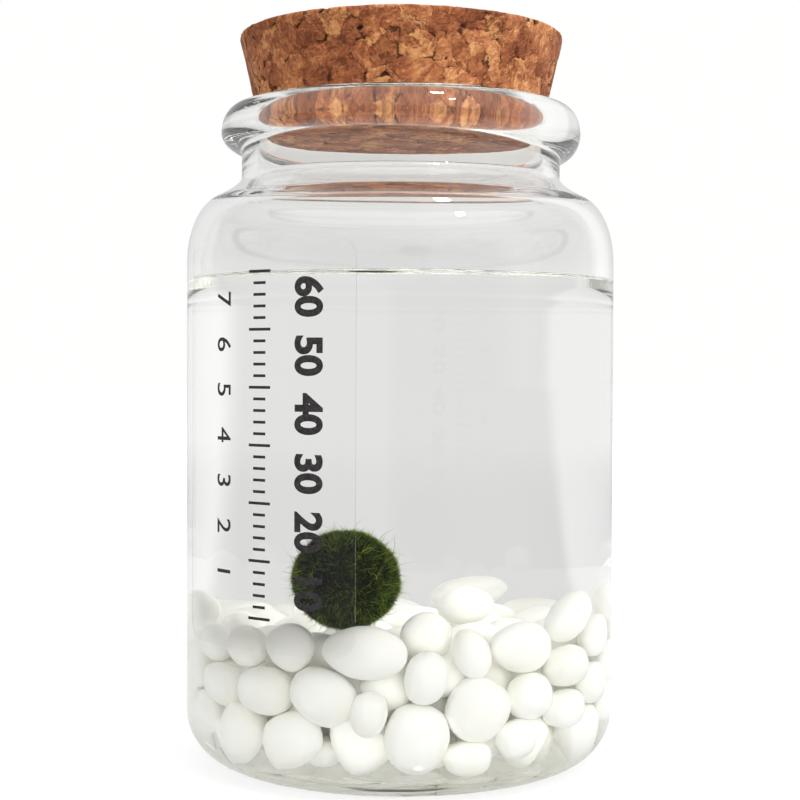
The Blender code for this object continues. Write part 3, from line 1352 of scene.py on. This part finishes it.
@dataclass(frozen=True)
class Thread:
    """One kind of thread: its shape, how many there are and how they stand."""

    name: str
    length: float
    width: float
    cuts: int
    lean: float
    tilt: float
    smallest: float
    count: float

    def model(self) -> bpy.types.Object:
        """Models one thread that stands on the origin.

        Returns:
            The thread.
        """
        bpy.ops.mesh.primitive_cone_add(
            vertices=3, radius1=self.width, radius2=0.0, depth=self.length, end_fill_type="NOTHING",
            location=(0.0, 0.0, 0.5 * self.length),
        )
        piece = fresh(self.name)
        place_in_mesh(piece)
        with editing(piece):
            for i in range(self.cuts):
                level = self.length * (i + 1) / (self.cuts + 1)
                bpy.ops.mesh.select_all(action="SELECT")
                bpy.ops.mesh.bisect(plane_co=(0.0, 0.0, level), plane_no=UP, threshold=HAIRLINE)
        for vert in piece.data.vertices:
            share = vert.co.z / self.length
            vert.co.x += self.lean * self.length * share**2
            vert.co.y += 0.4 * self.lean * self.length * math.sin(4.0 * share)
        return piece

    def plant(self, graph: Graph, ball: Value, shape: bpy.types.Object, area: float, seed: int) -> Value:
        """Adds the nodes that plant copies of the thread on the ball.

        Args:
            graph: The node tree to build in.
            ball: The ball's mesh.
            shape: One thread.
            area: The ball's surface, in square metres.
            seed: What the random draws start from.

        Returns:
            The planted threads.
        """
        inputs = {"Mesh": ball, "Density": self.count / area, "Seed": seed}
        spread = graph.add("GeometryNodeDistributePointsOnFaces", None, inputs)
        widest = (self.tilt, self.tilt, math.pi)
        inputs = {0: tuple(-turn_ for turn_ in widest), 1: widest, "Seed": seed + 10}
        lean = graph.node("FunctionNodeRandomValue", {"data_type": "FLOAT_VECTOR"}, inputs)
        bent = graph.node("FunctionNodeEulerToRotation", None, {0: lean})
        inputs = {0: Value(graph, spread.outputs["Rotation"]), 1: bent}
        stand = graph.node("FunctionNodeRotateRotation", {"rotation_space": "LOCAL"}, inputs)
        inputs = {2: self.smallest, 3: 1.0, "Seed": seed + 20}
        size = graph.node("FunctionNodeRandomValue", {"data_type": "FLOAT"}, inputs, output=1)
        form = graph.node("GeometryNodeObjectInfo", None, {"Object": shape}, "Geometry")
        points = Value(graph, spread.outputs["Points"])
        inputs = {"Points": points, "Instance": form, "Rotation": stand, "Scale": size}
        planted = graph.node("GeometryNodeInstanceOnPoints", None, inputs)
        return graph.node("GeometryNodeRealizeInstances", None, {0: planted})


@dataclass
class MossBall:
    """A ball of green threads: a dense heart under short threads, with a few long stray ones."""

    fuzz: float = 0.85 * MM
    thread: float = 0.055 * MM
    threads: float = 29000.0
    stray_threads: float = 90.0
    lump: float = 2.2 * MM
    lump_depth: float = 0.5 * MM
    seed: int = 3

    def kinds(self) -> tuple[Thread, ...]:
        """Sizes the four kinds of thread.

        Returns:
            The kinds, from the short ones to the strays.
        """
        fuzz, thick, many = self.fuzz, self.thread, self.threads
        return (
            Thread("short", 1.2 * fuzz, thick, 0, 0.0, 0.7, 0.45, many),
            Thread("curled", 1.8 * fuzz, 0.9 * thick, 1, 0.35, 1.0, 0.45, 0.13 * many),
            Thread("long", 3.0 * fuzz, 0.8 * thick, 3, 0.4, 0.8, 0.5, 0.012 * many),
            Thread("stray", 4.8 * fuzz, 1.2 * thick, 6, 0.45, 0.9, 0.4, self.stray_threads),
        )

    def build(self, finish: MossFinish) -> None:
        """Shapes the heart of the ball and plants its threads.

        Args:
            finish: The moss's finish.
        """
        low, high = (Vector(corner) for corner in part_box("moss_ball"))
        centre = 0.5 * (low + high)
        reach = 0.5 * (high.x - low.x)
        core = reach - self.fuzz
        bpy.ops.mesh.primitive_ico_sphere_add(subdivisions=5, radius=core, location=centre)
        piece = fresh("moss_threads")
        place_in_mesh(piece)
        roughen(piece, self.lump, self.lump_depth)
        graph, ball = shape_nodes("plant_threads")
        joined = graph.add("GeometryNodeJoinGeometry")
        graph.tree.links.new(ball.socket, joined.inputs[0])
        shapes = [kind.model() for kind in self.kinds()]
        for i, (kind, shape) in enumerate(zip(self.kinds(), shapes)):
            threads = kind.plant(graph, ball, shape, 4 * math.pi * core**2, self.seed + i)
            graph.tree.links.new(threads.socket, joined.inputs[0])
        graph.add("NodeGroupOutput", None, {0: Value(graph, joined.outputs[0])})
        work(piece, "NODES", node_group=graph.tree)
        for shape in shapes:
            bpy.data.objects.remove(shape)
        dress(piece, finish.make(centre, core, reach))
        fit(piece, "moss", "moss_ball")


# ---------------------------------------------------------------- clear label


@dataclass
class Label:
    """The clear film on the left of the front, with a plain level scale printed on it."""

    jar: Jar
    bite: float = 0.03 * MM
    thickness: float = 0.09 * MM
    ink: float = 0.02 * MM
    corner: float = 3.0 * MM
    rim: float = 0.45 * MM
    rim_rise: float = 0.03 * MM
    columns: int = 30
    crease: float = math.radians(35)
    top_margin: float = 4.6 * MM

    # The three columns: each one's way round in degrees, its step down and the sizes of its print.
    bold_at: float = -22.8
    bold_step: float = 8.0 * MM
    bold_size: float = 5.5 * MM
    bold_stroke: float = 0.22 * MM
    bars_at: float = -36.6
    bar_step: float = 1.6 * MM
    bar_tall: float = 0.4 * MM
    bar_short: float = 2.2 * MM
    bar_long: float = 3.9 * MM
    small_at: float = -50.0
    small_drop: float = 3.6 * MM
    small_step: float = 6.4 * MM
    small_size: float = 4.6 * MM
    small_stroke: float = 0.02 * MM

    def edges(self) -> tuple[float, float, float, float]:
        """Where the film lies.

        Returns:
            Its left and right along the wall, and its lowest and highest height.
        """
        low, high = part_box("clear_label")
        left = math.atan2(low[0], -high[1])
        right = math.atan2(high[0], -low[1])
        return left * self.jar.radius, right * self.jar.radius, low[2], high[2]

    def bend_ready(self, piece: bpy.types.Object, left: float, right: float) -> None:
        """Cuts a flat piece into columns, so that it bends smoothly.

        Args:
            piece: The piece.
            left: The left end of the columns.
            right: Their right end.
        """
        with editing(piece):
            for i in range(1, self.columns):
                cut = (left + (right - left) * i / self.columns, 0.0, 0.0)
                bpy.ops.mesh.select_all(action="SELECT")
                bpy.ops.mesh.bisect(plane_co=cut, plane_no=(1.0, 0.0, 0.0), threshold=HAIRLINE)

    def finish_flat(self, piece: bpy.types.Object, material: bpy.types.Material, radius: float) -> None:
        """Bends a flat piece round the jar, turns its faces outward and dresses it.

        Args:
            piece: The piece.
            material: Its material.
            radius: The radius on which its underside lies.
        """
        wrap(piece, radius)
        with editing(piece):
            bpy.ops.mesh.normals_make_consistent(inside=False)
        dress(piece, material)
        pick(piece)
        bpy.ops.object.shade_smooth_by_angle(angle=self.crease)

    def build_film(self, finish: FilmFinish) -> None:
        """Makes the film and bends it round the jar.

        Args:
            finish: The film's finish.
        """
        left, right, low, high = self.edges()
        middle = (0.5 * (left + right), 0.5 * (low + high), 0.0)
        bpy.ops.mesh.primitive_plane_add(size=1.0, location=middle)
        piece = fresh("label_film")
        piece.scale = (right - left, high - low, 1.0)
        place_in_mesh(piece)
        with editing(piece):
            bpy.ops.mesh.bevel(offset=self.corner, segments=8, affect="VERTICES")
            bpy.ops.mesh.select_all(action="SELECT")
            bpy.ops.mesh.inset(thickness=self.rim, depth=-self.rim_rise)
        self.bend_ready(piece, left, right)
        work(piece, "SOLIDIFY", thickness=self.thickness, offset=1.0)
        self.finish_flat(piece, finish.make(), self.jar.radius - self.bite)
        fit(piece, "clear_film", "clear_label")

    def mark(self, name: str, along: float, up: float, wide: float, tall: float) -> bpy.types.Object:
        """Makes one plain bar of ink, flat.

        Args:
            name: The bar's name.
            along: The place of its middle along the wall.
            up: The height of its middle.
            wide: Its width.
            tall: Its height.

        Returns:
            The bar.
        """
        bpy.ops.mesh.primitive_cube_add(size=1.0, location=(along, up, 0.5 * self.ink))
        piece = fresh(name)
        piece.scale = (wide, tall, self.ink)
        place_in_mesh(piece)
        return piece

    def numeral(self, text: str, along: float, up: float, size: float, bold: float) -> bpy.types.Object:
        """Makes one plain number, flat, reading down the jar.

        Args:
            text: Its digits.
            along: The place of its middle along the wall.
            up: The height of its middle.
            size: The size of its type.
            bold: How much thicker its strokes are on each side.

        Returns:
            The number.
        """
        raised = 0.1 * MM
        bpy.ops.object.text_add(location=(along, up, 0.0), rotation=(0.0, 0.0, -0.5 * math.pi))
        piece = fresh("number_" + text)
        piece.data.body = text
        piece.data.size = size
        piece.data.resolution_u = 6
        piece.data.extrude = raised
        piece.data.bevel_depth = bold
        piece.data.bevel_resolution = 0
        piece.data.align_x = "CENTER"
        piece.data.align_y = "CENTER"
        pick(piece)
        bpy.ops.object.convert(target="MESH")
        place_in_mesh(piece)
        with editing(piece, "FACE"):
            bpy.ops.mesh.remove_doubles(threshold=WELD)
            bpy.ops.mesh.quads_convert_to_tris()
        piece.scale.z = 0.5 * self.ink / (raised + bold)
        piece.location.z = 0.5 * self.ink
        place_in_mesh(piece)
        return piece

    def build_scale(self, finish: InkFinish) -> None:
        """Prints the level scale: bold numbers, a row of plain bars, and small numbers.

        Args:
            finish: The ink's finish.
        """
        left, right, _, high = self.edges()
        degree = math.radians(1.0) * self.jar.radius
        top = high - self.top_margin
        marks = []
        for i in range(6):
            place = (self.bold_at * degree, top - self.bold_step * (i + 0.45))
            marks.append(self.numeral(str(60 - 10 * i), *place, self.bold_size, self.bold_stroke))
        for i in range(31):
            wide = self.bar_long if i % 5 == 0 else self.bar_short
            place = (self.bars_at * degree, top - self.bar_step * i)
            marks.append(self.mark("bar", *place, wide, self.bar_tall))
        for i in range(7):
            place = (self.small_at * degree, top - self.small_drop - self.small_step * i)
            marks.append(self.numeral(str(7 - i), *place, self.small_size, self.small_stroke))
        piece = join("label_scale", marks)
        self.bend_ready(piece, left, right)
        underside = self.jar.radius - self.bite + self.thickness + 0.3 * self.ink
        self.finish_flat(piece, finish.make(), underside)
        fit(piece, "clear_film")


# ---------------------------------------------------------------- studio


@dataclass
class Studio:
    """The camera, the lights, the surroundings and the floor."""

    jar: Jar
    distance: float = 7.63
    eye: float = 1.831
    down: float = 1.13
    roll: float = -0.23
    lens: float = 72.45
    window_away: float = 0.9
    behind: float = 0.76
    darker_above: float = 0.06
    overhead: float = 0.5
    sides: float = 1.15
    near: float = 0.74
    front_floor: float = 0.42
    bright_floor_radius: float = 0.1
    dark_floor: float = 0.22
    dark_floor_end: float = 0.45
    bounces: int = 32
    soft: float = 1.16
    through_glass: float = 1.85
    soft_above: float = 0.5
    soft_floor: float = 0.64
    from_right: float = 0.42
    floor_size: float = 8.0
    floor_shadow: float = 0.2
    floor_colour: Colour = (0.98, 0.98, 0.98)

    # Strips behind the jar: where across they begin and are full, and how much brighter they are.
    strips: tuple = ((0.0, 0.03, 0.03), (-0.3, -0.36, 0.12), (0.35, 0.5, 0.22))
    # Windows: name, angle from the front and rise in degrees, side in metres, watts.
    windows: tuple = (("high_window", 32.0, 58.0, 0.09, 3.0), ("low_window", 35.0, 38.28, 0.06, 1.4))

    def build_camera(self) -> None:
        """Puts the camera in front of the jar, a little above its middle and looking slightly down."""
        data = bpy.data.cameras.new("camera")
        data.lens = self.lens
        data.sensor_width = 36.0
        data.clip_start = MM
        camera = bpy.data.objects.new("camera", data)
        camera.location = (0.0, -self.distance * self.jar.radius, self.eye * self.jar.radius)
        camera.rotation_euler = (math.radians(90.0 - self.down), math.radians(self.roll), 0.0)
        bpy.context.scene.collection.objects.link(camera)
        bpy.context.scene.camera = camera

    def lamp(self, name: str, turn_: float, rise: float, size: float, power: float) -> None:
        """Adds a square soft light aimed at the jar.

        Args:
            name: The light's name.
            turn_: Its angle from the camera's side towards +X, in degrees.
            rise: Its angle above the level, in degrees.
            size: Its side.
            power: Its power in watts.
        """
        data = bpy.data.lights.new(name, "AREA")
        data.size = size
        data.energy = power
        light = bpy.data.objects.new(name, data)
        level, up = math.radians(turn_), math.radians(rise)
        way = Vector((math.sin(level) * math.cos(up), -math.cos(level) * math.cos(up), math.sin(up)))
        light.location = Vector((0.0, 0.0, 0.06)) + way * self.window_away
        light.rotation_euler = way.to_track_quat("Z", "Y").to_euler()
        light.visible_transmission = False
        bpy.context.scene.collection.objects.link(light)

    def build_lights(self) -> None:
        """Two small window-like lights for the highlights, one above the other."""
        for window in self.windows:
            self.lamp(*window)

    def build_world(self) -> None:
        """White all round for the camera, and a soft room for all other light.

        The room is light grey behind the jar, bright overhead, and dim around the camera. Its zones
        are bounded by shares of a unit direction: across to +X, ahead to +Y, and up.
        """
        world = bpy.data.worlds.new("studio")
        world.use_nodes = True
        bpy.context.scene.world = world
        graph = Graph(world.node_tree)
        way = graph.node("ShaderNodeTexCoord", output="Generated")
        across, ahead, up = (graph.part(way, number) for number in range(3))
        behind = ahead.between(-0.5, -0.1)
        level_band = up.between(0.34, 0.14) * up.between(-0.45, -0.15)
        near = ahead.between(-0.35, -0.7) * level_band
        around = (across * 0.25 + 1) * self.sides * (1 - behind) + self.back_tone(graph, way) * behind
        room = around * (1 - near) + near * self.near
        lit = room + up.between(0.2, 0.7) * (1 - ahead.between(-0.2, 0.4)) * self.overhead
        seen = graph.light_path("Is Camera Ray")
        matt = graph.light_path("Diffuse Depth").between(0.0, 1.0)
        soft = self.soft_light(graph, across * self.from_right + 1)
        soft = soft + up.between(0.1, 0.8) * self.soft_above
        strength = (lit * (1 - matt) + soft * matt) * (1 - seen) + seen
        inputs = {"Color": (1.0, 1.0, 0.995, 1.0), "Strength": strength}
        light = graph.node("ShaderNodeBackground", None, inputs)
        graph.add("ShaderNodeOutputWorld", None, {"Surface": light})

    def soft_light(self, graph: Graph, lean: Term) -> Value:
        """The even light on matt surfaces, stronger behind glass to make up for what the glass keeps.

        Args:
            graph: The node tree.
            lean: How the light varies with its direction, around 1.

        Returns:
            The light's strength.
        """
        passed = graph.light_path("Transmission Depth").between(0.0, 1.0)
        return (passed * self.through_glass + self.soft) * lean

    def back_tone(self, graph: Graph, way: Value) -> Value:
        """The upright strips of slightly different grey behind the jar.

        Args:
            graph: The node tree to build in.
            way: The direction that is looked along.

        Returns:
            The brightness there.
        """
        across = graph.part(way, 0)
        above = graph.part(way, 2).between(0.03, 0.08)
        tone = self.behind - above * self.darker_above
        for start, full, brighter in self.strips:
            tone = tone + across.between(start, full) * brighter
        return tone

    def build_floor(self) -> None:
        """A plain pale floor that reaches far behind the jar, as bright through the glass as the room."""
        bpy.ops.mesh.primitive_plane_add(size=self.floor_size, location=(0.0, 0.0, -0.05 * MM))
        floor = fresh("floor")
        place_in_mesh(floor)
        shader = Shader("pale_floor")
        seen = shader.light_path("Is Camera Ray")
        matt = shader.light_path("Diffuse Depth").between(0.0, 1.0)
        way = shader.node("ShaderNodeVectorMath", {"operation": "NORMALIZE"}, {0: shader.place})
        behind = shader.part(shader.place, 1).between(-0.02, 0.06)
        far = shader.length(shader.place)
        beside = far.between(self.bright_floor_radius * 1.6, self.bright_floor_radius) * self.front_floor
        away = far.between(self.dark_floor_end, self.dark_floor_end * 2.5) * (self.near - self.dark_floor)
        front = beside + away + self.dark_floor
        room = self.back_tone(shader, way) * behind + (1 - behind) * front
        tone = room * (1 - matt) + self.soft_light(shader, matt * self.soft_floor)
        glow = shader.node("ShaderNodeEmission", None, {"Strength": seen + (1 - seen) * tone})
        cloth = shader.principled(Base_Color=self.floor_colour, Roughness=0.9)
        surface = shader.node("ShaderNodeMixShader", None, {0: seen * self.floor_shadow, 1: glow, 2: cloth})
        dress(floor, shader.done(surface))

    def build(self) -> None:
        """Sets the whole studio."""
        self.build_camera()
        self.build_lights()
        self.build_world()
        self.build_floor()
        scene = bpy.context.scene
        scene.view_settings.view_transform = "Standard"
        scene.cycles.max_bounces = self.bounces
        scene.cycles.transmission_bounces = self.bounces
        scene.cycles.glossy_bounces = self.bounces // 2
        scene.cycles.diffuse_bounces = self.bounces // 4


def main() -> None:
    """Builds the jar and all that is in it, piece by piece."""
    logging.basicConfig(level=logging.INFO, format="%(message)s")
    jar = Jar()
    jar.build(GlassFinish())
    Water(jar).build(WaterFinish())
    Cork().build(CorkFinish())
    pebbles = PebbleBed(jar)
    porcelain = PebbleFinish().make()
    pebbles.build_lower(porcelain)
    pebbles.build_top(porcelain)
    MossBall().build(MossFinish())
    label = Label(jar)
    label.build_film(FilmFinish())
    label.build_scale(InkFinish())
    Studio(jar).build()


if __name__ == "__main__":
    main()
